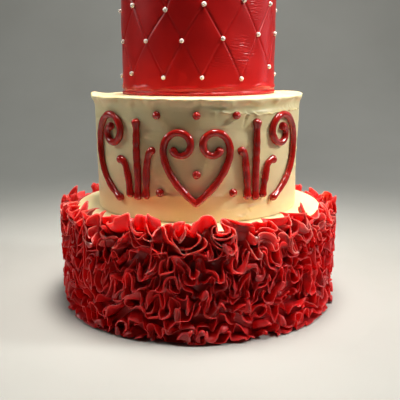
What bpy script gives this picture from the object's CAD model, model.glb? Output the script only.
# %% [markdown]
# # A three-tier celebration cake
#
# A tall cake of three round tiers: a bottom tier hidden in red ruffles, a cream middle tier with
# piped scrollwork, and a quilted red top tier set with pearls. The solid model has the cake's real
# sizes, and the sizes named here repeat them. This script dresses it: finer icing, thin ruffles,
# soft piping, and the light of a photo studio. All lengths are in metres, and the front faces -Y.

# %% Load the solid model
import math
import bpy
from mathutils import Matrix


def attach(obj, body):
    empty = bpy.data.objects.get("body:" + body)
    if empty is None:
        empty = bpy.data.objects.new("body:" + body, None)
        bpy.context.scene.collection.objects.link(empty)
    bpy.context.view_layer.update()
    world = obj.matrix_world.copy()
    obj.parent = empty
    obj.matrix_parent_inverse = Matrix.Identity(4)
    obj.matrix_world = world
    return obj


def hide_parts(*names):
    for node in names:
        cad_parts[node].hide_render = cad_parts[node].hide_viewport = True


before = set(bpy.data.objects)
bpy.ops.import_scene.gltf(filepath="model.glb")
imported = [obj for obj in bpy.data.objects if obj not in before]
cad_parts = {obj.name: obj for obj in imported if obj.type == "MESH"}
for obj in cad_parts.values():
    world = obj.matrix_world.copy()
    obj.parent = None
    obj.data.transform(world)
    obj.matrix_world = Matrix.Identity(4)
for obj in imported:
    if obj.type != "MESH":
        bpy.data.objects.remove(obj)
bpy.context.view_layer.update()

from types import SimpleNamespace

import bpy
import numpy as np

# %% [markdown]
# ## Helpers for icing
#
# Nearly every piece of this cake is a skin over a grid of points: rings round a tier, or lines
# along a ruffle. One helper turns such a grid into a mesh, closed in the directions that go
# round. Modelling by hand would do too, but a grid is easy to vary with arithmetic.

# %% Grids into meshes
BODY = "root"


def mesh_of(name, points, quads):
    """A smooth mesh from an array of points and an array of four corners a face."""
    mesh = bpy.data.meshes.new(name)
    mesh.vertices.add(len(points))
    mesh.vertices.foreach_set("co", np.asarray(points, dtype=np.float32).ravel())
    mesh.loops.add(len(quads) * 4)
    mesh.loops.foreach_set("vertex_index", np.asarray(quads, dtype=np.int32).ravel())
    mesh.polygons.add(len(quads))
    mesh.polygons.foreach_set("loop_start", np.arange(len(quads), dtype=np.int32) * 4)
    mesh.update(calc_edges=True)
    mesh.validate()
    mesh.shade_smooth()
    return mesh


def skin(name, grid, rows_meet=False, columns_meet=True):
    """A mesh over grid[row, column], with the last row or column joined to the first."""
    rows, columns = grid.shape[:2]
    index = np.arange(rows * columns).reshape(rows, columns)
    if rows_meet:
        index = np.vstack([index, index[:1]])
    if columns_meet:
        index = np.hstack([index, index[:, :1]])
    corners = [index[:-1, :-1], index[:-1, 1:], index[1:, 1:], index[1:, :-1]]
    return mesh_of(name, grid.reshape(-1, 3), np.stack(corners, -1).reshape(-1, 4))


def place(name, mesh, material, slot, *nodes):
    """Shows a mesh on the cake in place of the solid model's nodes."""
    piece = bpy.data.objects.new(name, mesh)
    bpy.context.scene.collection.objects.link(piece)
    mesh.materials.append(material)
    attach(piece, BODY)
    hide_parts(*nodes)
    print(name, len(mesh.polygons), "faces")


print("every piece rides on", BODY)

# %% [markdown]
# The baker's hand shows as gentle waves that never repeat evenly. A few cosines with drawn sizes
# make such waves, and a seed makes each run give the same cake. Angle 0 is the front, and angles
# grow towards the right. The rings of a tier have more points at the front, where they are seen
# from near. A bell and a climb are the two plain shapes that every local bump is made of.

# %% Uneven waves and rings
FULL_TURN = 2 * math.pi
PINHOLE = 0.0005


def wrapped(angle):
    """The same direction, as an angle from -pi to pi."""
    return (angle + math.pi) % FULL_TURN - math.pi


def bell(distance, width, power=2):
    """1 where the distance is 0, falling away smoothly past the width."""
    return np.exp(-((distance / width) ** power))


def climb(value, start, length):
    """0 up to the start, and 1 from a length past it."""
    return np.clip((value - start) / length, 0, 1)


def uneven(angle, draw, lowest, highest, size, fade=1.0):
    """A wave round the cake of about the given size, made of whole numbers of ripples."""
    counts = np.arange(lowest, highest + 1)
    sizes = draw.normal(size=len(counts)) / counts**fade
    phases = draw.uniform(0, FULL_TURN, len(counts))
    wave = np.zeros_like(angle, dtype=float)
    for count, part, phase in zip(counts, sizes, phases, strict=True):
        wave += part * np.cos(count * angle + phase)
    return wave * size / np.sqrt((sizes**2).sum() / 2)


def dapple(angle, height, draw, count, size, ripples, rise):
    """Broad unevenness over a wall, from waves that climb as they go round."""
    wave = np.zeros(np.broadcast(angle, height).shape)
    for _ in range(count):
        around = int(draw.integers(2, ripples))
        phase = draw.uniform(0, FULL_TURN)
        wave += np.cos(around * angle + draw.uniform(-rise, rise) * height + phase)
    return wave * size / math.sqrt(count / 2)


def front_first(front, back):
    """Angles of a ring from -pi to pi, closer together over the front half."""
    half = math.pi / 2
    near = np.linspace(-half, half, front, endpoint=False)
    far = np.linspace(half, 3 * half, back, endpoint=False)
    return np.sort(wrapped(np.concatenate([near, far])))[None, :]


def turned(radius, height, angle):
    """Points at a radius and height on rings, where angle 0 is the front."""
    return np.stack([radius * np.sin(angle), -radius * np.cos(angle), height + 0 * angle], -1)


def finer(points, most):
    """Fills in a profile of (radius, height) so that no step is longer than most."""
    filled = [points[0]]
    for (r0, z0), (r1, z1) in zip(points, points[1:]):
        steps = max(1, math.ceil(math.hypot(r1 - r0, z1 - z0) / most))
        for step in range(1, steps + 1):
            share = step / steps
            filled.append((r0 + (r1 - r0) * share, z0 + (z1 - z0) * share))
    return np.array(filled)


def rounded_rim(radius, height, edge, count=7):
    """A rounded top edge, from the flat top to the wall."""
    turns = [math.pi / 2 * (1 - i / (count - 1)) for i in range(count)]
    return [(radius - edge * (1 - math.cos(a)), height - edge * (1 - math.sin(a))) for a in turns]


print("a ring of 110 and 70 points steps by", np.diff(front_first(110, 70)).min().round(4), "at least")

# %% [markdown]
# ## Finishes
#
# Buttercream is pale, soft and a little translucent, with a satin skin. Sugar paste is denser: the
# quilt was polished with fat, so it has a sheen. The ruffles are rolled so thin that light soaks
# through them, most of all at their rims. Piping gel is wet and glossy. All of them are Principled
# shaders. Noise in the object's own coordinates varies their colour and gives a fine bump, which
# needs no unwrapping, and the larger unevenness is in the meshes.

# %% Helpers for finishes
def new_finish(name, colour, roughness, **more):
    """A material and its shader. The plain colour is for viewers that can't follow the nodes."""
    material = bpy.data.materials.new(name)
    material.use_nodes = True
    shader = material.node_tree.nodes["Principled BSDF"]
    shader.inputs["Base Color"].default_value = (*colour, 1)
    shader.inputs["Roughness"].default_value = roughness
    for socket, value in more.items():
        shader.inputs[socket.replace("_", " ")].default_value = value
    return material, shader


def add_node(material, kind, links=(), **values):
    """Adds a node. values are its properties or inputs, and links join outputs to its inputs."""
    node = material.node_tree.nodes.new(kind)
    for key, value in values.items():
        if hasattr(node, key):
            setattr(node, key, value)
        else:
            node.inputs[key.replace("_", " ")].default_value = value
    for output, socket in links:
        material.node_tree.links.new(output, node.inputs[socket])
    return node


def noise_of(material, scale, stretch=(1, 1, 1), detail=4.0, roughness=0.55):
    """Noise in the cake's own coordinates. A larger stretch squeezes it along that axis."""
    where = add_node(material, "ShaderNodeTexCoord")
    links = [(where.outputs["Object"], "Vector")]
    mapping = add_node(material, "ShaderNodeMapping", links, Scale=stretch)
    links = [(mapping.outputs["Vector"], "Vector")]
    values = {"Scale": scale, "Detail": detail, "Roughness": roughness}
    return add_node(material, "ShaderNodeTexNoise", links, **values).outputs["Fac"]


def add_bump(material, shader, height, strength, distance, under=None):
    """Bumps the surface by a height, on top of an earlier bump where one is given."""
    links = [(height, "Height")]
    if under is not None:
        links.append((under.outputs["Normal"], "Normal"))
    bump = add_node(material, "ShaderNodeBump", links, Strength=strength, Distance=distance)
    material.node_tree.links.new(bump.outputs["Normal"], shader.inputs["Normal"])
    return bump


def vary_colour(material, shader, amount, dark, light, low=0.3, high=0.7):
    """Blends between two colours as the amount goes from low to high."""
    ramp = add_node(material, "ShaderNodeValToRGB", [(amount, "Fac")])
    for stop, where, colour in zip(ramp.color_ramp.elements, (low, high), (dark, light)):
        stop.position = where
        stop.color = (*colour, 1)
    material.node_tree.links.new(ramp.outputs["Color"], shader.inputs["Base Color"])
    return ramp.color_ramp


# %% Buttercream
def make_buttercream():
    material, shader = new_finish(
        "buttercream",
        (0.86, 0.76, 0.50),
        0.40,
        Subsurface_Weight=0.2,
        Subsurface_Scale=0.003,
        Specular_IOR_Level=0.4,
    )
    shader.inputs["Subsurface Radius"].default_value = (1.0, 0.7, 0.35)
    cloud = noise_of(material, 22, (1, 1, 2.5))
    vary_colour(material, shader, cloud, (0.84, 0.69, 0.36), (0.89, 0.75, 0.45))
    strokes = noise_of(material, 60, (1, 1, 7), detail=5)
    drawn = add_bump(material, shader, strokes, 0.3, 0.0006)
    pores = noise_of(material, 900, detail=2)
    add_bump(material, shader, pores, 0.12, 0.0002, under=drawn)
    return material


BUTTERCREAM = make_buttercream()
print(BUTTERCREAM.name, len(BUTTERCREAM.node_tree.nodes), "nodes")


# %% Polished paste of the quilt
def make_polished_paste():
    material, shader = new_finish(
        "polished_red_paste",
        (0.56, 0.008, 0.012),
        0.34,
        Specular_IOR_Level=0.32,
    )
    cloud = noise_of(material, 35)
    vary_colour(material, shader, cloud, (0.46, 0.005, 0.005), (0.56, 0.009, 0.008))
    wrinkles = noise_of(material, 330, (1, 1, 2.2), detail=6, roughness=0.6)
    add_bump(material, shader, wrinkles, 0.16, 0.0006)
    return material


POLISHED_PASTE = make_polished_paste()
print(POLISHED_PASTE.name, len(POLISHED_PASTE.node_tree.nodes), "nodes")


# %% [markdown]
# Every point of a ruffle carries a number named rim, which grows from its root to its rim. It
# drives the colour: deep red at the root, where little light gets in, even red over most of the
# sheet, and pale on the last stretch, where the paste is thinnest. Batches of paste also differ a
# little in brightness.

# %% Thin paste of the ruffles
RIM_COLOURS = (
    (0.48, (0.64, 0.015, 0.018)),
    (0.80, (0.64, 0.019, 0.020)),
    (0.94, (0.78, 0.034, 0.030)),
)
BATCH_DIMMEST, BATCH_BRIGHTEST = 0.78, 1.25


def make_thin_paste():
    material, shader = new_finish(
        "thin_red_paste",
        (0.56, 0.010, 0.012),
        0.38,
        Specular_IOR_Level=0.36,
        Subsurface_Weight=0.8,
        Subsurface_Scale=0.0050,
    )
    shader.inputs["Subsurface Radius"].default_value = (1.0, 0.10, 0.08)
    rim = add_node(material, "ShaderNodeAttribute", attribute_name="rim").outputs["Fac"]
    ramp = vary_colour(material, shader, rim, (0.50, 0.010, 0.014), (0.90, 0.120, 0.095), 0.2, 1.0)
    for share, colour in RIM_COLOURS:
        ramp.elements.new(share).color = (*colour, 1)
    batch = noise_of(material, 45, detail=2)
    links = [(batch, "Value")]
    bright = add_node(material, "ShaderNodeMapRange", links, From_Min=0.3, From_Max=0.7)
    bright.inputs["To Min"].default_value = BATCH_DIMMEST
    bright.inputs["To Max"].default_value = BATCH_BRIGHTEST
    colour = shader.inputs["Base Color"].links[0].from_socket
    links = [(colour, "Color"), (bright.outputs["Result"], "Value")]
    mixed = add_node(material, "ShaderNodeHueSaturation", links)
    material.node_tree.links.new(mixed.outputs["Color"], shader.inputs["Base Color"])
    grain = noise_of(material, 420)
    add_bump(material, shader, grain, 0.2, 0.0004)
    return material


THIN_PASTE = make_thin_paste()
print(THIN_PASTE.name, len(THIN_PASTE.node_tree.nodes), "nodes")


# %% Piping gel and sugar pearls
def make_gel():
    material, shader = new_finish(
        "red_gel",
        (0.38, 0.006, 0.008),
        0.15,
        Specular_IOR_Level=0.5,
        Coat_Weight=0.25,
        Coat_Roughness=0.08,
    )
    cloud = noise_of(material, 90)
    vary_colour(material, shader, cloud, (0.32, 0.006, 0.004), (0.48, 0.013, 0.008))
    lumps = noise_of(material, 240, detail=2)
    add_bump(material, shader, lumps, 0.25, 0.0006)
    return material


def make_pearl():
    material, shader = new_finish(
        "sugar_pearl",
        (0.86, 0.70, 0.58),
        0.25,
        Specular_IOR_Level=0.6,
        Coat_Weight=0.5,
        Coat_Roughness=0.1,
    )
    cloud = noise_of(material, 500)
    vary_colour(material, shader, cloud, (0.96, 0.80, 0.70), (0.99, 0.90, 0.82))
    return material


GEL = make_gel()
PEARL = make_pearl()
print("finishes", [m.name for m in (BUTTERCREAM, POLISHED_PASTE, THIN_PASTE, GEL, PEARL)])

# %% [markdown]
# ## The bottom tier
#
# Under the ruffles is a plain iced drum. Only a ring of its top shows, between the ruffles and the
# middle tier. A profile turned round the cake's axis does, with a slow waviness on top where the
# knife passed.

# %% Ice the bottom tier
BOTTOM_R, BOTTOM_H = 0.1275, 0.1000
BOTTOM_EDGE = 0.003
GIRTH = FULL_TURN * BOTTOM_R


def ice_bottom_tier():
    draw = np.random.default_rng(2)
    profile = [(PINHOLE, BOTTOM_H), *rounded_rim(BOTTOM_R, BOTTOM_H, BOTTOM_EDGE)]
    line = finer(profile + [(BOTTOM_R, 0.0), (PINHOLE, 0.0)], 0.006)
    angle = front_first(110, 70)
    radius, height = line[:, :1], line[:, 1:]
    on_top = height > BOTTOM_H - 0.0001
    lift = uneven(angle, draw, 2, 16, 0.0003) * np.sin(radius * 190 + 1) * on_top
    mesh = skin("bottom_tier_icing", turned(radius, height + lift, angle))
    place("bottom_tier_icing", mesh, BUTTERCREAM, "cream_coat", "tier_bottom")


ice_bottom_tier()

# %% [markdown]
# ## The middle tier
#
# The middle tier was iced with a long knife held upright against a turning cake. That leaves faint
# level streaks on the wall, and pushes an uneven lip past the top edge, thin at its rim and hollow
# beneath. It catches the light from above and shades the wall under it. The profile is turned
# like the bottom tier's, with its rows closest together where the knife tore the wall.
# Each of its points says how much it belongs to the lip, so that the lip alone can swing out and
# hang down by different amounts round the cake.

# %% Profile of the middle tier
MIDDLE_R, MIDDLE_H, MIDDLE_Z = 0.1028, 0.1112, 0.1003
MIDDLE_SHIFT = -0.0015
LIP_REACH, LIP_DROP, LIP_RISE = 0.0034, 0.0052, 0.0016
WALL_FLARE, FLARE_FROM = 0.0013, 0.03
TORN_TO, TORN_STEP = 0.090, 0.0004
LIP_BEHIND = (  # distance from the wall, height in rises of the lip, share of the lip
    (-0.0060, -0.80, 0.1),
    (-0.0040, -0.55, 0.3),
    (-0.0020, -0.25, 0.5),
    (0.0, -0.05, 0.7),
)
LIP_ROLL = (  # distance out in reaches of the lip, depth in drops of the lip, share of the lip
    (0.50, 0.02, 0.9),
    (0.80, 0.08, 1.0),
    (0.95, 0.17, 1.0),
    (1.00, 0.30, 1.0),
    (0.99, 0.44, 1.0),
    (0.93, 0.56, 1.0),
    (0.82, 0.68, 1.0),
    (0.67, 0.82, 1.0),
    (0.51, 1.00, 0.8),
    (0.36, 1.22, 0.6),
    (0.22, 1.50, 0.35),
    (0.10, 1.90, 0.15),
    (0.0, 2.35, 0.0),
)


def wall_flare(height):
    """How much further out the wall of the middle tier stands towards its top."""
    return WALL_FLARE * climb(height, FLARE_FROM, MIDDLE_H - FLARE_FROM) ** 1.5


def on_middle_tier(radius, height, angle):
    """Points of the middle tier, which stands a little to the left of the others."""
    return turned(radius, height + MIDDLE_Z, angle) + np.array([MIDDLE_SHIFT, 0, 0])


def middle_profile():
    """Rows of radius, height and share of the lip, from the middle of the top to the base."""
    r, h, top = MIDDLE_R, MIDDLE_H, MIDDLE_H - LIP_RISE
    points = [(PINHOLE + (r - 0.0085) * k / 24, top, 0.0) for k in range(25)]
    points += [(r + inwards, h + LIP_RISE * down, share) for inwards, down, share in LIP_BEHIND]
    points += [(r + LIP_REACH * out, h - LIP_DROP * down, share) for out, down, share in LIP_ROLL]
    torn = np.arange(points[-1][1] - TORN_STEP, TORN_TO, -TORN_STEP)
    points += [(r, z, 0.0) for z in torn]
    points += [(r, torn[-1] * (1 - k / 96), 0.0) for k in range(1, 97)]
    points += [((r - PINHOLE) * (1 - k / 6) + PINHOLE, 0.0, 0.0) for k in range(1, 7)]
    return np.array(points)


print("middle tier profile of", len(middle_profile()), "points")

# %% [markdown]
# The wall isn't smooth either. Besides the level streaks, the knife tore a ragged ridge under the
# lip on the right, left a low seam near the foot, and scratched the icing here and there. They
# are deep enough to catch light, so they go into the mesh as small steps and grooves, each along
# a line of (angle in degrees, height).

# %% Knife marks on the wall
RIDGES = (
    # line, height of the ridge, its width, step of the wall below it
    (((6, 0.1010), (14, 0.0985), (24, 0.0975), (33, 0.0958), (46, 0.0978), (56, 0.0985),
      (74, 0.0992)), 0.0013, 0.0007, 0.0011),
    (((-40, 0.0205), (-33, 0.0216), (-11, 0.0246), (17, 0.0240)), 0.0003, 0.0009, 0.0005),
    (((26, 0.0080), (30, 0.0135), (33, 0.0138)), 0.0010, 0.0010, 0.0004),
    (((20, 0.0040), (25, 0.0046), (29, 0.0042)), 0.0010, 0.0009, 0.0005),
    (((57, 0.0582), (66, 0.0560), (80, 0.0585)), 0.0010, 0.0009, 0.0),
    (((56, 0.0520), (72, 0.0532)), 0.0008, 0.0008, 0.0),
    (((57, 0.0432), (80, 0.0411)), 0.0008, 0.0008, 0.0),
    (((-14, 0.1012), (-4, 0.1000), (-1, 0.1015)), 0.0005, 0.0008, 0.0),
    (((6, 0.0785), (10, 0.0750)), 0.0005, 0.0008, 0.0),
    (((-75, 0.0890), (-58, 0.0900)), 0.0005, 0.0009, 0.0002),
)
SCRATCHES = (
    # one end, the other end, depth
    ((25.4, 0.0976), (24.7, 0.0927), 0.0012),
    ((24.7, 0.0927), (23.6, 0.0854), 0.0008),
    ((53.3, 0.0370), (53.2, 0.0275), 0.0010),
    ((27.0, 0.0105), (28.6, 0.0072), 0.0008),
)
SCRATCH_WIDTH = 0.0007
STEP_LENGTH = 0.006
STREAK_DEPTH = 0.00016


def add_ridges(angle, height, draw):
    """How far the torn ridges stand out, with the step of the wall below each."""
    degrees = np.degrees(angle)
    stands = np.zeros(np.broadcast(angle, height).shape)
    for line, size, width, step in RIDGES:
        at, level = np.array(line).T
        ragged = uneven(angle, draw, 40, 110, 0.0005, 0.4)
        centre = np.interp(degrees, at, level) + ragged
        fade = climb(degrees, at[0], 3) * np.clip((at[-1] - degrees) / 5, 0, 1)
        broken = np.clip(0.85 + uneven(angle, draw, 12, 60, 0.35, 0.3), 0.3, 1.4)
        across = (height - centre) / width
        peak = np.exp(-(across**2))
        below = np.where(across < 0, np.exp(across * width / STEP_LENGTH), peak)
        stands += fade * (size * broken * peak + step * below)
    return stands


def add_scratches(angle, height):
    """How far the scratches stand out, which is less than nothing."""
    degrees = np.degrees(angle)
    stands = np.zeros(np.broadcast(angle, height).shape)
    for (a0, z0), (a1, z1), depth in SCRATCHES:
        x, x0, x1 = (MIDDLE_R * np.radians(a) for a in (degrees, a0, a1))
        run, rise = x1 - x0, z1 - z0
        share = ((x - x0) * run + (height - z0) * rise) / (run**2 + rise**2)
        share = np.clip(share, 0, 1)
        away = np.hypot(x - x0 - share * run, height - z0 - share * rise)
        stands -= depth * bell(away, SCRATCH_WIDTH)
    return stands


def add_streaks(angle, height, draw, count=34):
    """Small level steps where the edge of the knife slid."""
    stands = np.zeros(np.broadcast(angle, height).shape)
    for _ in range(count):
        level, width = draw.uniform(0.003, MIDDLE_H - 0.012), draw.uniform(0.0008, 0.0024)
        middle, reach = draw.uniform(-math.pi, math.pi), draw.uniform(0.2, 0.9)
        away = wrapped(angle - middle)
        across = (height - level - draw.uniform(-0.004, 0.004) * away) / width
        step = np.tanh(across) * np.exp(-np.abs(across) / 3)
        stands += draw.choice([-1, 1]) * STREAK_DEPTH * bell(away, reach, 4) * step
    return stands


print(len(RIDGES), "ridges and", len(SCRATCHES), "scratches")

# %% [markdown]
# On top, the icing rises a little to the foot of the top tier, more so on the right. The lip has
# waves all round, and a few places where the knife did more: it reaches out to a sharp edge on the
# left, hangs lowest in front, and stands highest at both sides. Under it, on the right of the
# front, the wall is hollow and lies in shade. All of this is added to the turned profile.

# %% Shape of the lip
TOP_SEAT, SEAT_RIGHT = 0.0018, 0.0012
# Places on the lip: angle, half width, size
LEFT_REACH = (-math.pi / 2, 0.30, 0.0009)
FRONT_DROP = (0.0, 0.35, 0.0009)
RIGHT_CREST = (1.80, 0.60, 0.0024)
LEFT_CREST = (-1.60, 0.20, 0.0022)
HOLLOW_AT, HOLLOW_WIDE, HOLLOW_FOOT = 0.88, 0.42, 0.0985


def foot_height(angle):
    """How far the icing rises round the foot of the top tier."""
    return TOP_SEAT + SEAT_RIGHT * np.clip(np.sin(angle), 0, 1) ** 2


def swell(angle, place):
    at, width, size = place
    return size * bell(angle - at, width)


def lip_waves(angle, draw):
    """How much further than its profile the lip reaches out, hangs down and rises."""
    reach = uneven(angle, draw, 2, 30, 0.0004, 0.7) + uneven(angle, draw, 24, 90, 0.00022, 0.5)
    reach += swell(angle, LEFT_REACH)
    drop = uneven(angle, draw, 3, 50, 0.0010, 0.5)
    drop += swell(angle, FRONT_DROP) - 0.0009 * np.clip(np.sin(angle), 0, 1)
    crest = uneven(angle, draw, 2, 24, 0.0003, 0.7) + swell(angle, RIGHT_CREST)
    crest += swell(angle, LEFT_CREST)
    return reach, drop, crest


def under_lip(radius, height, angle):
    """How deep the hollow under the lip is."""
    below = np.clip((MIDDLE_H - height) / LIP_DROP - 0.75, 0, 1)
    where = bell(angle - HOLLOW_AT, HOLLOW_WIDE, 4) * (below * climb(height, HOLLOW_FOOT, 0.002))
    deep = 0.8 * np.maximum(radius - MIDDLE_R, 0) + 0.0008
    return where * deep * (radius > MIDDLE_R - 0.002)


print("icing rises", np.round(foot_height(np.array([-1.5, 0.0, 1.5])), 4), "on the left, front and right")


# %% Ice the middle tier
def ice_middle_tier():
    draw = np.random.default_rng(7)
    radius, height, lip = np.split(middle_profile(), 3, axis=1)
    angle = front_first(290, 90)
    on_wall = (radius >= MIDDLE_R - 1e-6) & (lip < 0.5) & (height > 1e-6)
    on_top = height >= MIDDLE_H - LIP_RISE - 1e-6
    fall = np.clip((MIDDLE_H - height) / LIP_DROP, 0, 1.3) * lip
    reach, drop, crest = lip_waves(angle, draw)
    marks = add_ridges(angle, height, draw) + add_scratches(angle, height)
    marks += add_streaks(angle, height, draw)
    marks += dapple(angle, height, draw, 10, 0.0003, 12, 90)
    flare = wall_flare(height) * np.clip((radius - MIDDLE_R) / 0.008 + 1, 0, 1)
    radius = radius + flare + reach * lip + marks * on_wall
    radius = radius - under_lip(radius, height, angle)
    mound = foot_height(angle) * np.clip((0.1005 - radius) / 0.014, 0, 1) ** 2 * on_top
    height = height - drop * fall + crest * lip * (1 - fall.clip(0, 1)) + mound
    mesh = skin("middle_tier_icing", on_middle_tier(radius, height, angle))
    place("middle_tier_icing", mesh, BUTTERCREAM, "cream_coat", "tier_middle")


ice_middle_tier()

# %% [markdown]
# ## The quilted top tier
#
# The sheet of red paste was pressed with a ruler into diamonds, and a pearl was stuck at each
# crossing. It was done by eye: the rows climb to the right, and the diamonds differ. So the
# crossings are listed as they are at the front, in degrees and metres above the tier's base, and
# drawn evenly with a little waver at the back.

# %% Lay out the crossings
TOP_R, TOP_Z, TOP_CREST = 0.0767, 0.2102, 0.3107
DIAMONDS = 12
PEARL_ROW = 0.0335
FIRST_ROW = 0.01675
SEEN = (
    ((-54.9, 0.0219), (-24.2, 0.0181), (2.5, 0.0181), (30.7, 0.0173), (60.7, 0.0282)),
    ((-69.3, 0.0520), (-38.2, 0.0509), (-10.9, 0.0503), (16.6, 0.0524), (45.6, 0.0571),
     (73.0, 0.0598)),
    ((-51.5, 0.0835), (-22.2, 0.0772), (3.8, 0.0814), (32.1, 0.0860), (60.8, 0.0858)),
)


def all_crossings():
    """Each row's (angle, height) by angle, and last a row past the wall for the top creases."""
    draw = np.random.default_rng(23)
    rows = []
    for row, seen in enumerate(SEEN):
        left, right = seen[0], seen[-1]
        missing = DIAMONDS - len(seen)
        gap = (360 + left[0] - right[0]) / (missing + 1)
        level = FIRST_ROW + PEARL_ROW * row
        points = list(seen)
        for k in range(1, missing + 1):
            from_right, from_left = math.exp(-k), math.exp(k - missing - 1)
            settle = level + (right[1] - level) * from_right + (left[1] - level) * from_left
            points.append((right[0] + gap * k + draw.normal(0, 0.8), settle + draw.normal(0, 0.0008)))
        rows.append(sorted((wrapped(math.radians(a)), z) for a, z in points))
    return [*rows, [(angle, z + 2 * PEARL_ROW) for angle, z in rows[1]]]


CROSSINGS = all_crossings()
print(sum(len(row) for row in CROSSINGS[:-1]), "crossings")

# %% [markdown]
# Each crease runs straight from a crossing to the nearest two in the row above. The distance from
# a point of the wall to the nearest crease shapes the pads: a narrow valley, and a slow shoulder
# that makes the pad swell. The distance is measured on the unrolled wall.

# %% Creases between the crossings
def creases():
    """Start and end of every crease, as (angle, height, angle step, height step)."""
    lines = []
    for low, high in zip(CROSSINGS, CROSSINGS[1:]):
        for angle, level in low:
            nearest = sorted(high, key=lambda other: abs(wrapped(other[0] - angle)))[:2]
            lines += [(angle, level, wrapped(a - angle), z - level) for a, z in nearest]
    return lines


def crease_distance(angle, height):
    """Metres from each point of the wall to the nearest crease."""
    nearest = np.full(np.broadcast(angle, height).shape, 1.0)
    for start, level, turn, rise in creases():
        run = TOP_R * turn
        x = TOP_R * wrapped(angle - start)
        y = height - level
        share = np.clip((x * run + y * rise) / (run**2 + rise**2), 0, 1)
        nearest = np.minimum(nearest, np.hypot(x - share * run, y - share * rise))
    return nearest


print(len(creases()), "creases")

# %% [markdown]
# The sheet also has fine cross wrinkles in a few diamonds, where the paste dried before it was
# pressed, a low ridge a finger's width above its foot, and a trimmed foot that turns out. The top
# rim is soft and round. The foot sits on the icing, so it follows the icing's height.

# %% Wrinkles and pads
TOP_EDGE = 0.0045
TOP_TALL = TOP_CREST - TOP_Z
PASTE_SWELL = 0.0004
WRINKLED = ((31, 0.038, 13, 0.016), (44, 0.080, 9, 0.012), (14, 0.030, 7, 0.007))
WRINKLE_DEPTH = 0.00004
CREASE_DEPTH, CREASE_WIDTH = 0.00060, 0.00080
PAD_DEPTH, PAD_WIDTH = 0.00024, 0.005
HEM, HEM_FOLD, HEM_TOP = 0.0040, 0.0009, 0.0100
RIDGE_LEVEL, RIDGE_SIZE, RIDGE_WIDTH = 0.0076, 0.0008, 0.0015


def wrinkles(angle, height, draw):
    """Fine level wrinkles inside the patches of WRINKLED: (degrees, height, and half sizes)."""
    fine = np.zeros(np.broadcast(angle, height).shape)
    for _ in range(16):
        up = draw.uniform(1900, 3700)
        around = draw.uniform(-60, 60)
        fine += np.cos(up * height + around * angle + draw.uniform(0, FULL_TURN))
    where = np.zeros_like(fine)
    for at, level, wide, tall in WRINKLED:
        away = ((np.degrees(angle) - at) / wide) ** 2 + ((height - level) / tall) ** 2
        where = np.maximum(where, np.exp(-(away**2)))
    return WRINKLE_DEPTH * fine * where


def pads(angle, height):
    """The pads between the creases, which fade out towards the hem."""
    away = crease_distance(angle, height + seat(angle, height))
    fade = np.clip((height - HEM) / 0.012, 0.1, 1)
    return -(CREASE_DEPTH * bell(away, CREASE_WIDTH) + PAD_DEPTH * np.exp(-away / PAD_WIDTH)) * fade


def seat(angle, height):
    """How far the paste is lifted by the icing under its foot, less and less towards its top."""
    return foot_height(angle) * (1 - height / TOP_TALL)


def trimmed_hem(angle, height, draw):
    """The foot turns out, with a groove above it."""
    hem = 0.0005 * np.exp(-height / 0.0010) + 0.0008 * bell(height - 0.0020, HEM_FOLD)
    hem = hem * (1 + uneven(angle, draw, 5, 60, 0.25, 0.4))
    return hem - 0.0003 * bell(height - HEM, HEM_FOLD)


print(len(WRINKLED), "wrinkled patches and", round(1000 * CREASE_DEPTH, 2), "mm creases")


# %% Cover the top tier
def top_profile():
    """Rows of radius and height, from the middle of the top to the foot, finest in the hem."""
    upper = np.linspace(TOP_TALL - TOP_EDGE, HEM_TOP, 128, endpoint=False)
    wall = np.concatenate([upper, np.linspace(HEM_TOP, 0.0, 30)])
    profile = [((TOP_R - TOP_EDGE) * k / 9 + PINHOLE, TOP_TALL) for k in range(9)]
    profile += rounded_rim(TOP_R + PASTE_SWELL, TOP_TALL, TOP_EDGE, 8)[:-1]
    profile += [(TOP_R + PASTE_SWELL, z) for z in wall] + [(PINHOLE, 0.0)]
    return np.array(profile)


def cover_top_tier():
    draw = np.random.default_rng(19)
    angle = front_first(310, 150)
    radius, height = np.split(top_profile(), 2, axis=1)
    side = np.clip((radius - TOP_R + TOP_EDGE) / TOP_EDGE, 0, 1)
    soft = dapple(angle, height, draw, 12, 0.00016, 16, 160) + wrinkles(angle, height, draw)
    hem = trimmed_hem(angle, height, draw)
    level = RIDGE_LEVEL + uneven(angle, draw, 3, 24, 0.0007, 0.5)
    ridge = bell(height - level, RIDGE_WIDTH)
    broken = np.clip(0.55 + uneven(angle, draw, 2, 14, 0.5, 0.3), 0, 1.2)
    radius = radius + (pads(angle, height) + soft + hem + RIDGE_SIZE * ridge * broken) * side
    lift = seat(angle, height)
    mesh = skin("quilted_paste", turned(radius, height + lift + TOP_Z, angle))
    place("quilted_paste", mesh, POLISHED_PASTE, "quilted_red_coat", "tier_top")


cover_top_tier()

# %% [markdown]
# ## Pearls
#
# The pearls are pressed sugar balls, no two quite the same size, pushed a little into the paste at
# the crossings. One ball is made as a grid from pole to pole and copied into a single mesh,
# because all the pearls are one finish and never move.

# %% Set the pearls
PEARL_R = 0.0022
PEARL_OUT = 0.40


def ball_points(radius, segments, rings):
    """A grid of points over a ball, pole to pole."""
    fall = np.linspace(0.02, math.pi - 0.02, rings)[:, None]
    turn = (np.arange(segments) * FULL_TURN / segments)[None, :]
    parts = [np.sin(fall) * np.cos(turn), np.sin(fall) * np.sin(turn), np.cos(fall) + 0 * turn]
    return np.stack(parts, -1) * radius


def ball_faces(segments, rings):
    """Four corners a face over the points of a ball."""
    index = np.arange(rings * segments).reshape(rings, segments)
    index = np.hstack([index, index[:, :1]])
    corners = [index[:-1, :-1], index[1:, :-1], index[1:, 1:], index[:-1, 1:]]
    return np.stack(corners, -1).reshape(-1, 4)


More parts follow.
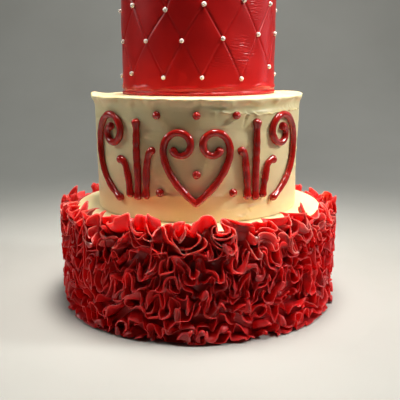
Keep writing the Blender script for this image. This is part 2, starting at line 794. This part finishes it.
def set_pearls():
    draw = np.random.default_rng(31)
    ball, faces = ball_points(PEARL_R, 16, 11), ball_faces(16, 11)
    points, quads = [], []
    out = TOP_R + PEARL_R * PEARL_OUT
    for row in CROSSINGS[:-1]:
        for angle, height in row:
            middle = (out * math.sin(angle), -out * math.cos(angle), TOP_Z + height)
            quads.append(faces + len(points) * ball.shape[0] * ball.shape[1])
            points.append(ball.reshape(-1, 3) * draw.uniform(0.92, 1.04) + np.array(middle))
    mesh = mesh_of("pearls", np.concatenate(points), np.concatenate(quads))
    place("pearls", mesh, PEARL, "quilted_red_coat", "tier_top")


set_pearls()

# %% [markdown]
# ## Ruffles
#
# Each ruffle is a thin strip of paste, gathered at its root and pushed onto the wall so that its
# rim folds back and forth. Hundreds of folds lie close together and must not run through each
# other. Cloth simulation could do it slowly. Here a stream is used instead: a strip starts as a
# straight line on the unrolled wall and is carried by a flow of eddies while it grows outwards. A
# flow never makes lines cross, however much it folds them, so the folds nest like real ones.
# The stream is a sum of waves. Waves that run nearly level, with a small slant, push the strip up
# and down as it goes round, so that its folds stand upright side by side. A second stream of short
# waves frills the rim. LAYOUT is broad, and moves whole strips before they fold, so that no rows
# show, and PETALS makes the wider folds of the crown.

# %% A stream of eddies
class Stream:
    """Eddies on the unrolled wall, where a point is (distance round, height)."""

    def __init__(self, seed, count, shortest, longest, slant, soft=0.005, ceiling=9.0):
        draw = np.random.default_rng(seed)
        length = draw.uniform(shortest, longest, count)
        heading = draw.uniform(-slant, slant, count)
        self.phase = draw.uniform(0, FULL_TURN, count)
        self.across = FULL_TURN * np.round(GIRTH / length * np.cos(heading)) / GIRTH
        self.up = FULL_TURN / length * np.sin(heading)
        self.size = 1 / (np.hypot(self.across, self.up) * math.sqrt(count / 2))
        self.soft, self.ceiling = soft, ceiling

    def flow(self, points):
        """Speed of about 1. It turns level at the foot and at the ceiling, and never passes them."""
        angle = points[:, :1] * self.across + points[:, 1:] * self.up + self.phase
        wave, slope = np.cos(angle) * self.size, -np.sin(angle) * self.size
        foot = np.exp(-np.maximum(points[:, 1], 0) / self.soft)
        top = np.exp(-np.maximum(self.ceiling - points[:, 1], 0) / self.soft)
        free = (1 - foot) * (1 - top)
        edge = (foot * (1 - top) - (1 - foot) * top) / self.soft
        along = free * (slope * self.up).sum(1) + edge * wave.sum(1)
        rise = -free * (slope * self.across).sum(1)
        return np.stack([along, rise], 1)

    def carry(self, points, distance):
        """Moves the points with the flow, looking ahead half way so that they keep to it."""
        half = points + self.flow(points) * distance / 2
        return points + self.flow(half) * distance


LAYOUT = Stream(13, 12, 0.040, 0.080, math.radians(50), soft=0.012, ceiling=0.098)
FOLDS = Stream(11, 18, 0.0100, 0.0190, math.radians(32))
FRILLS = Stream(12, 14, 0.006, 0.009, math.radians(80))
PETALS = Stream(31, 16, 0.015, 0.030, math.radians(55))
print("folds", np.round(np.abs(FOLDS.flow(np.array([[0.0, 0.05]]))), 2))

# %% [markdown]
# A strip is a closed skin, out along one face, over the rim and back along the other. Its points
# are chosen where the folded rim is long, so that a tight curl is as smooth as a slack one. The
# share of the way from root to rim is stored on the points for the finish.

# %% Roll out a strip
SHARES = np.array([0, 0.35, 0.60, 0.80, 0.93, 1.0])
TAKES_HOLD = (1.7, 3.0)
SAMPLES, FINE = 54, 420
ROOT_R = BOTTOM_R + 0.0012
ROOT_THICK, RIM_THINNER = 0.0013, 0.0006


def paste_thickness(share):
    return ROOT_THICK - RIM_THINNER * share


def carried_lines(root, streams, drifts):
    """The strip's line at each level from root to rim. The frills take hold last."""
    lines, line, last = [], root, 0.0
    for share in SHARES:
        for stream, drift, power in zip(streams, drifts, TAKES_HOLD):
            line = stream.carry(line, (share**power - last**power) * drift)
        last = share
        lines.append(line)
    return lines


def chosen_samples(lines):
    """Indexes of the points to keep, evenly along the strip's rim and root together."""
    rim, root = lines[-1], lines[0]
    step = np.hypot(*np.diff(rim, axis=0).T) + 0.6 * np.hypot(*np.diff(root, axis=0).T)
    length = np.concatenate([[0], np.cumsum(step)])
    return np.searchsorted(length, np.linspace(0, length[-1], SAMPLES)).clip(0, len(rim) - 1)


print("a strip's wall is", paste_thickness(0), "thick at its root and", paste_thickness(1), "at its rim")

# %% [markdown]
# Seen from its end, a strip leans up from the wall and then curls down towards its rim. The folded
# line of each level is set along that path, held inside the reach of the widest ruffle, off the
# floor and clear of the tier's icing.

# %% Curl a strip and set it on the tier
REACH_MOST, REACH_EASE = 0.1450, 0.0030
FLOOR_GAP, FLOOR_FROM, FLOOR_EASE = 0.0008, 0.004, 0.0032
CLEAR = 0.0006


def hold_in(value, limit, soft):
    """Eases values that come near a limit, so that none passes it."""
    over = np.maximum(value - limit + soft, 0)
    return np.where(over > 0, limit - soft * np.exp(-over / soft), value)


def curled_path(lean, curl):
    """Shares of the depth that each level stands out and up, and which way it faces."""
    def turn(share):
        return lean * np.sqrt(share) - curl * np.clip(2 * share - 1, 0, 1) ** 1.5

    out, up, ways = [0 * curl], [0 * curl], [turn(share) for share in SHARES]
    for low, high in zip(SHARES, SHARES[1:]):
        middle = turn((low + high) / 2)
        out.append(out[-1] + np.cos(middle) * (high - low))
        up.append(up[-1] + np.sin(middle) * (high - low))
    return zip(out, up, ways, strict=True)


def on_tier(line, base, depth, sway, path):
    """Puts a line of the unrolled wall where its strip stands out from the tier."""
    out, up, way = path
    rise = line[:, 1] - base
    round_by = (line[:, 0] + sway * depth * out) / BOTTOM_R
    radius = ROOT_R + depth * out - rise * np.sin(way)
    height = base + depth * up + rise * np.cos(way)
    radius = hold_in(radius, REACH_MOST, REACH_EASE)
    low = FLOOR_GAP + FLOOR_EASE * np.exp((height - FLOOR_FROM) / FLOOR_EASE)
    height = np.where(height > FLOOR_FROM, height, low)
    radius = np.where(height < BOTTOM_H + CLEAR, np.maximum(radius, BOTTOM_R + CLEAR), radius)
    return turned(radius, height, round_by)


def strip_skin(root, streams, drifts, depth, leans, curl):
    """A strip's grid of points. leans are the angle up from level and the slant sideways."""
    lines = carried_lines(root, streams, drifts)
    keep = chosen_samples(lines)
    base, depth = root[keep, 1], depth[keep]
    faces = ([], [])
    for line, share, path in zip(lines, SHARES, curled_path(leans[0], curl[keep])):
        along = np.gradient(line, axis=0)
        along /= np.linalg.norm(along, axis=1, keepdims=True) + 1e-9
        side = np.stack([-along[:, 1], along[:, 0]], 1) * paste_thickness(share) / 2
        for face, sign in zip(faces, (1, -1)):
            face.append(on_tier((line + sign * side)[keep], base, depth, leans[1], path))
    return np.stack([*faces[0], *faces[1][::-1]])


print("ruffles reach", REACH_MOST, "from the cake's axis, and", REACH_MOST - BOTTOM_R, "from the tier")

# %% [markdown]
# Strips about as wide as two fingers are stuck side by side in rows, from the foot up. The upper
# rows lean up more, and the last four are the crown of wide petals that stand past the tier's
# edge. In front the crown stands up. Towards the sides and the back it is stuck on lower and
# droops outwards. Lengths, depths and leans are drawn within the range that the eye takes for
# handmade.

# %% Two kinds of strip
# tilt is the spread of the leans, curls and depths are ranges, and carry is how far LAYOUT moves
# the roots each time. droop and sunk are the share of the lean and the height that the crown
# loses at the back.
WALL_STRIP = SimpleNamespace(
    width=0.026, tilt=0.22, curls=(-0.1, 1.3), depths=(0.50, 1.12), carry=0.0026,
    streams=(FOLDS, FRILLS), drifts=(0.0088, 0.0005), droop=0.0, sunk=0.0,
)
CROWN_STRIP = SimpleNamespace(
    width=0.029, tilt=0.12, curls=(-0.3, 0.6), depths=(0.70, 1.05), carry=0.0008,
    streams=(PETALS, FRILLS), drifts=(0.0086, 0.0005), droop=0.62, sunk=0.0055,
)
OVERLAP = 0.0004
ROOT_LOWEST, ROOT_HIGHEST = 0.0015, 0.097


def strip_root(low, high, base, carry, draw):
    """The line where a strip is stuck on, from low to high round the wall."""
    u = np.linspace(low - OVERLAP, high + OVERLAP, FINE)
    level = base + draw.normal(0, 0.0010)
    root = np.stack([u, level + draw.normal(0, 0.08) * (u - u.mean())], 1)
    root[:, 1] = root[:, 1].clip(ROOT_LOWEST, ROOT_HIGHEST)
    for _ in range(4):
        root = LAYOUT.carry(root, carry)
    return root


def strip_depth(most, kind, draw):
    """How far out each point of a strip stands, less at its ends."""
    across = np.linspace(-1, 1, FINE)
    waver = np.sin(across * draw.uniform(2, 9) + draw.uniform(0, 6))
    shape = (1 - 0.25 * np.abs(across) ** 5) * (1 + 0.16 * waver)
    return most * draw.uniform(*kind.depths) * shape


def strip_curl(kind, draw):
    """How far each point of a strip's rim curls down, in radians."""
    across = np.linspace(-1, 1, FINE)
    bend = 1 + 0.5 * np.sin(across * draw.uniform(1, 5) + draw.uniform(0, 6))
    return draw.uniform(*kind.curls) * bend


print("strips in a row:", round(GIRTH / WALL_STRIP.width), "and", round(GIRTH / CROWN_STRIP.width))


# %% Lay the rows
def row_of_strips(base, depth, lean, kind, draw):
    count = round(GIRTH / kind.width)
    edges = np.concatenate([[0], np.cumsum(draw.uniform(0.6, 1.4, count))])
    edges = draw.uniform(0, GIRTH) + edges / edges[-1] * GIRTH
    strips = []
    for low, high in zip(edges, edges[1:]):
        from_front = abs(wrapped((low + high) / 2 / BOTTOM_R))
        start = base - kind.sunk * climb(from_front, 1.0, 0.5)
        root = strip_root(low, high, start, kind.carry, draw)
        deep = strip_depth(depth, kind, draw)
        curl = strip_curl(kind, draw)
        drift = np.array(kind.drifts) * draw.uniform(0.85, 1.2)
        stays = 1 - kind.droop * climb(from_front, 0.75, 0.5)
        leans = (lean * stays + draw.normal(0, kind.tilt), draw.normal(0, kind.tilt))
        strips.append(strip_skin(root, kind.streams, drift, deep, leans, curl))
    return strips


WALL_ROWS = 10
FIRST_ROOT, ROOT_STEP, WALL_DEPTH = 0.0030, 0.0086, 0.0172
CROWN_ROWS = (
    # height of the roots, depth, lean in degrees
    (0.0815, 0.0200, 42),
    (0.0865, 0.0215, 56),
    (0.0918, 0.0210, 76),
    (0.0965, 0.0188, 97),
)


def lay_rows():
    draw = np.random.default_rng(41)
    rows = []
    for row in range(WALL_ROWS):
        base, lean = FIRST_ROOT + row * ROOT_STEP, math.radians(min(-8 + row * 18, 26 + row * 2.5))
        rows.append(row_of_strips(base, WALL_DEPTH, lean, WALL_STRIP, draw))
    for base, depth, lean in CROWN_ROWS:
        rows.append(row_of_strips(base, depth, math.radians(lean), CROWN_STRIP, draw))
    return rows


# %% Stick the ruffles on
def ruffle_mesh(name, strips, most):
    """One mesh of many strips, closed at their ends. The attribute rim grows to most."""
    rows, columns = strips[0].shape[:2]
    index = np.arange(rows * columns).reshape(rows, columns)
    turn = np.vstack([index, index[:1]])
    corners = [turn[:-1, :-1], turn[:-1, 1:], turn[1:, 1:], turn[1:, :-1]]
    faces = [np.stack(corners, -1).reshape(-1, 4)]
    half = rows // 2
    for column, flip in ((0, 1), (columns - 1, -1)):
        out, back = index[:half, column], index[half:, column][::-1]
        faces.append(np.stack([out[:-1], out[1:], back[1:], back[:-1]], -1)[:, ::flip])
    one = np.concatenate(faces)
    quads = np.concatenate([one + k * rows * columns for k in range(len(strips))])
    mesh = mesh_of(name, np.concatenate([s.reshape(-1, 3) for s in strips]), quads)
    level = np.concatenate([SHARES, SHARES[::-1]]) * most
    rim = mesh.attributes.new("rim", "FLOAT", "POINT")
    rim.data.foreach_set("value", np.tile(np.repeat(level, columns), len(strips)).astype(np.float32))
    return mesh


def stick_ruffles():
    """Four pieces. The rims are palest in the crown, where most light soaks into them."""
    rows = lay_rows()
    for name, part, most in (
        ("ruffles_foot", rows[:4], 0.80),
        ("ruffles_waist", rows[4:7], 0.80),
        ("ruffles_shoulder", rows[7:10], 0.88),
        ("ruffles_crown", rows[10:], 1.0),
    ):
        strips = [strip for row in part for strip in row]
        place(name, ruffle_mesh(name, strips, most), THIN_PASTE, "ruffle_paste", "ruffles")


stick_ruffles()

# %% [markdown]
# The strips are stuck to a band of paste round the tier. Hardly any of it shows, only as shade
# between the folds, so a plain turned band does.

# %% Back the ruffles
def back_the_ruffles():
    low, high, inner, outer = 0.0006, 0.0990, BOTTOM_R + 0.0003, BOTTOM_R + 0.0020
    line = finer([(outer, high), (outer, low), (inner, low), (inner, high)], 0.006)
    grid = turned(line[:, :1], line[:, 1:], front_first(128, 128))
    mesh = skin("ruffle_band", grid, rows_meet=True)
    place("ruffle_band", mesh, THIN_PASTE, "ruffle_paste", "ruffles")


back_the_ruffles()

# %% [markdown]
# ## Piped scrollwork
#
# Piping is one squeeze of the bag for each stroke. The strokes are drawn on the unrolled wall by
# bends whose curvature changes evenly, which is how a hand draws a scroll. Blender's curve object
# could make tubes of them, but a bead has to follow the round wall, lie flat on it and swell where
# the hand stops, so its rings are worked out here.

# %% Draw the strokes
def route(start, heading, bends, step=0.0010):
    """Points along a line. Each bend is a length and its curvatures at both ends, per metre."""
    x, z = start
    angle = math.radians(heading)
    points = [(x, z)]
    for length, first, last in bends:
        count = max(2, round(length / step))
        part = length / count
        for i in range(count):
            curve = first + (last - first) * (i + 0.5) / count
            angle += curve * part / 2
            x, z = x + part * math.cos(angle), z + part * math.sin(angle)
            angle += curve * part / 2
            points.append((x, z))
    return np.array(points)


HEART_HALF = (
    (0.0, 0.0185),
    141,
    ((0.048, -6, -19), (0.026, -28, -76), (0.028, -86, -100), (0.018, -106, -170)),
)
SCROLL = (
    (0.0765, 0.0180),
    28,
    ((0.054, 8, 26), (0.042, 18, 42), (0.038, 66, 76), (0.034, 82, 165)),
)
STROKES = {
    "scroll": route(*SCROLL),
    "stem": route((0.0555, 0.0205), 90, ((0.070, 0, 0),)),
    "leaf_in": route((0.0470, 0.0220), 94, ((0.036, 0, 2), (0.009, 90, 120))),
    "leaf_out": route((0.0640, 0.0220), 82, ((0.026, 1, -8), (0.012, -100, -130))),
}
DOTS = {
    "top": (0.0, 0.0960),
    "upper": (0.0350, 0.0960),
    "lower": (0.0330, 0.0270),
    "inner": (0.0, 0.0440),
}
print("strokes", {name: len(line) for name, line in STROKES.items()})

# %% [markdown]
# Each ring of a bead lies across its stroke. Its size wavers, is largest in the blobs at the ends
# and narrows just before them. Rings are pressed flat at the back, where they lie on the icing.

# %% Squeeze out a bead
BEAD_R = 0.0033
BEAD_SIDES = 16
BEAD_STANDS = 0.55
PRESSED = 0.00035
NECK_AT, NECK_LENGTH, BLOB_LENGTH = 0.0120, 0.0045, 0.0034


def on_middle(x, z, out):
    """Points over the unrolled wall of the middle tier, a distance out from it."""
    return on_middle_tier(MIDDLE_R + wall_flare(z) + out, z, x / MIDDLE_R)


def bead_size(length, total, draw):
    """The bead's radius along its stroke, and how much of it is left at the rounded ends."""
    size = np.ones_like(length)
    for end, blob in ((length, draw.uniform(0.08, 0.16)), (total - length, draw.uniform(0.16, 0.26))):
        size += blob * bell(end - BEAD_R, BLOB_LENGTH)
        size -= 0.08 * bell(end - NECK_AT, NECK_LENGTH)
    for _ in range(8):
        ripple = FULL_TURN * length / draw.uniform(0.006, 0.026)
        size += 0.017 * np.cos(ripple + draw.uniform(0, FULL_TURN))
    edge = np.clip(np.minimum(length, total - length) / (BEAD_R * 1.1), 0.004, 1)
    rounding = np.sqrt(1 - (1 - edge) ** 2)
    return BEAD_R * size * rounding, rounding


def bead_grid(line, draw):
    """Rings of points round a stroke, laid on the wall."""
    along = np.gradient(line, axis=0)
    along /= np.linalg.norm(along, axis=1, keepdims=True)
    length = np.concatenate([[0], np.cumsum(np.hypot(*np.diff(line, axis=0).T))])
    size, rounding = bead_size(length, length[-1], draw)
    turn = (np.arange(BEAD_SIDES) * FULL_TURN / BEAD_SIDES)[:, None]
    out = np.maximum(np.sin(turn) * size + BEAD_R * BEAD_STANDS * rounding, PRESSED)
    side = np.cos(turn) * size
    return on_middle(line[:, 0] - along[:, 1] * side, line[:, 1] + along[:, 0] * side, out)


print("a bead is", round(2000 * BEAD_R, 1), "mm wide and stands out", round(1550 * BEAD_R, 1), "mm")


# %% Round off a stroke and let the hand shake
def with_tails(line):
    """The line, led on past both ends by the cap of the bead."""
    steps = np.linspace(BEAD_R * 0.75, 0, 5, endpoint=False)[:, None]
    ahead, behind = line[0] - line[1], line[-1] - line[-2]
    start = line[0] + ahead / np.hypot(*ahead) * steps
    end = line[-1] + behind / np.hypot(*behind) * steps[::-1]
    return np.vstack([start, line, end])


def shaky(line, draw):
    """The line as a hand draws it, up to half a millimetre off."""
    share = np.linspace(0, 1, len(line))[:, None]
    shift = np.zeros_like(line)
    for k in range(1, 4):
        shift += draw.normal(0, 0.00022, 2) * np.sin(k * math.pi * share + draw.uniform(0, 6))
    return line + shift * np.minimum(1, 8 * share) * np.minimum(1, 8 * (1 - share))


print("the scroll's tails add", len(with_tails(STROKES["scroll"])) - len(STROKES["scroll"]), "points")

# %% [markdown]
# The dots are one short squeeze each: a low dome with a small peak where the tip pulled away.

# %% Pipe the scrollwork
DOT_R = 0.0038
PEAK, PEAK_WIDTH = 0.0007, 0.0011


def dot_grid(x, z, draw):
    """A ball pressed flat at the back, with a peak in front, laid on the wall."""
    ball = ball_points(DOT_R, 20, 14)
    side, rise, out = np.moveaxis(ball, -1, 0)
    peak = PEAK * bell(np.hypot(side, rise), PEAK_WIDTH) * (out > 0)
    size = draw.uniform(0.93, 1.03)
    out = np.maximum(out * 0.86 + DOT_R * 0.35 + peak, PRESSED)
    return on_middle(x + side * size, z + rise * size * draw.uniform(0.96, 1.06), out)


def pipe_stroke(name, line, node, draw):
    grid = bead_grid(with_tails(shaky(line, draw)), draw)
    place(name, skin(name, grid, rows_meet=True, columns_meet=False), GEL, "piping_gel", node)


def pipe_dot(name, x, z, node, draw):
    place(name, skin(name, dot_grid(x, z, draw)), GEL, "piping_gel", node)


def pipe_scrollwork():
    draw = np.random.default_rng(53)
    half = route(*HEART_HALF)
    heart = np.vstack([half[::-1], half[1:] * [-1, 1]])
    pipe_stroke("bead_heart", heart, "piping_heart", draw)
    for side, sign in (("right", 1), ("left", -1)):
        for name, line in STROKES.items():
            pipe_stroke(f"bead_{name}_{side}", line * [sign, 1], f"piping_{name}_{side}", draw)
    for name, (x, z) in DOTS.items():
        for side, sign in (("", 1),) if x == 0 else (("_right", 1), ("_left", -1)):
            pipe_dot(f"dot_{name}{side}", sign * x, z, f"piping_dot_{name}{side}", draw)


pipe_scrollwork()

# %% [markdown]
# ## Floor
#
# The cake stands on a pale floor that runs up behind it in one bend, as a photo studio's paper
# does, so no line shows behind the cake.

# %% Lay the floor
BEND_R, BACK_AT, HALF_WIDE, WALL_TALL, FRONT_AT = 0.9, 1.6, 6.0, 4.0, -4.0


def lay_floor():
    material, shader = new_finish("pale_paper", (0.37, 0.36, 0.335), 0.6)
    cloud = noise_of(material, 3)
    vary_colour(material, shader, cloud, (0.35, 0.34, 0.315), (0.39, 0.38, 0.355))
    line = [(FRONT_AT, 0.0), (BACK_AT - BEND_R, 0.0)]
    for k in range(1, 17):
        turn = math.pi / 2 * k / 16
        line.append((BACK_AT - BEND_R + BEND_R * math.sin(turn), BEND_R - BEND_R * math.cos(turn)))
    line.append((BACK_AT, WALL_TALL))
    grid = np.array([[(x, y, z) for x in (-HALF_WIDE, HALF_WIDE)] for y, z in line])
    mesh = skin("floor", grid, columns_meet=False)
    mesh.materials.append(material)
    floor = bpy.data.objects.new("floor", mesh)
    bpy.context.scene.collection.objects.link(floor)


lay_floor()

# %% [markdown]
# ## Light
#
# The light comes mostly from above, so the lip and the petals are bright and the walls fall off
# into shade. Its beam is narrow, so that it lights the cake and little of the floor, which would
# throw light back up under the lip. A lamp high on the right and a weaker one on the left model
# the sides, and leave the middle of the front darkest, as in the photograph. A tall narrow one on
# the right draws the streak of sheen on the polished quilt, and one behind lights the backdrop
# alone. The plain view transform keeps the reds as full as they are in the colour values, where
# the default one would pale them.

# %% Light the cake
LAMPS = {
    # stand, aim, size, watts, colour
    "overhead": ((0.10, -0.04, 1.25), (0, 0, 0.15), (0.50, 0.45), 3.0, (1, 0.96, 0.90)),
    "right_strip": ((1.0, 0.42, 0.50), (0, 0, 0.2), (0.08, 0.9), 1.0, (0.95, 0.88, 1)),
    "right_side": ((1.18, -0.18, 0.95), (0, 0, 0.1), (0.20, 0.20), 15, (0.95, 1, 0.98)),
    "left_side": ((-1.3, 0.04, 0.9), (0, 0, 0.1), (0.50, 0.40), 7, (0.9, 1, 0.98)),
    "backdrop_light": ((0, 0.5, 1.7), (0, 1.6, 0.4), (1.2, 0.4), 8.5, (1, 0.98, 0.93)),
}
OVERHEAD_BEAM = 50
ROOM_GLOW, ROOM_COLOUR = 0.02, (1.0, 0.98, 0.94, 1)


def add_light(name, stand, aim, size, watts, colour):
    data = bpy.data.lights.new(name, "AREA")
    data.shape = "RECTANGLE"
    data.size, data.size_y = size
    data.energy = watts
    data.color = colour
    light = bpy.data.objects.new(name, data)
    bpy.context.scene.collection.objects.link(light)
    light.location = stand
    ahead = np.array(aim) - np.array(stand)
    tilt = math.acos(-ahead[2] / np.linalg.norm(ahead))
    light.rotation_euler = (tilt, 0, math.atan2(-ahead[0], ahead[1]))


def light_cake():
    for name, (stand, aim, size, watts, colour) in LAMPS.items():
        add_light(name, stand, aim, size, watts, colour)
    bpy.data.lights["overhead"].spread = math.radians(OVERHEAD_BEAM)
    world = bpy.context.scene.world or bpy.data.worlds.new("studio")
    bpy.context.scene.world = world
    world.use_nodes = True
    background = world.node_tree.nodes["Background"]
    background.inputs["Color"].default_value = ROOM_COLOUR
    background.inputs["Strength"].default_value = ROOM_GLOW
    bpy.context.scene.view_settings.view_transform = "Standard"
    print(len(bpy.data.lights), "lamps")


light_cake()

# %% [markdown]
# ## Camera
#
# The camera stands where the photograph was taken from. It was found by fitting the ellipses of
# the tiers' edges: a little above the middle tier, looking slightly down.

# %% Set up the camera
CAMERA_AT = (0.0016, -0.62266, 0.23245)
CAMERA_PITCH = 12.05
LENS, SENSOR = 53.5, 36


def set_camera():
    data = bpy.data.cameras.new("camera")
    data.sensor_width = SENSOR
    data.lens = LENS
    camera = bpy.data.objects.new("camera", data)
    bpy.context.scene.collection.objects.link(camera)
    camera.location = CAMERA_AT
    camera.rotation_euler = (math.radians(90 - CAMERA_PITCH), 0, 0)
    bpy.context.scene.camera = camera
    print("camera", round(math.degrees(data.angle), 1), "degrees wide")


set_camera()
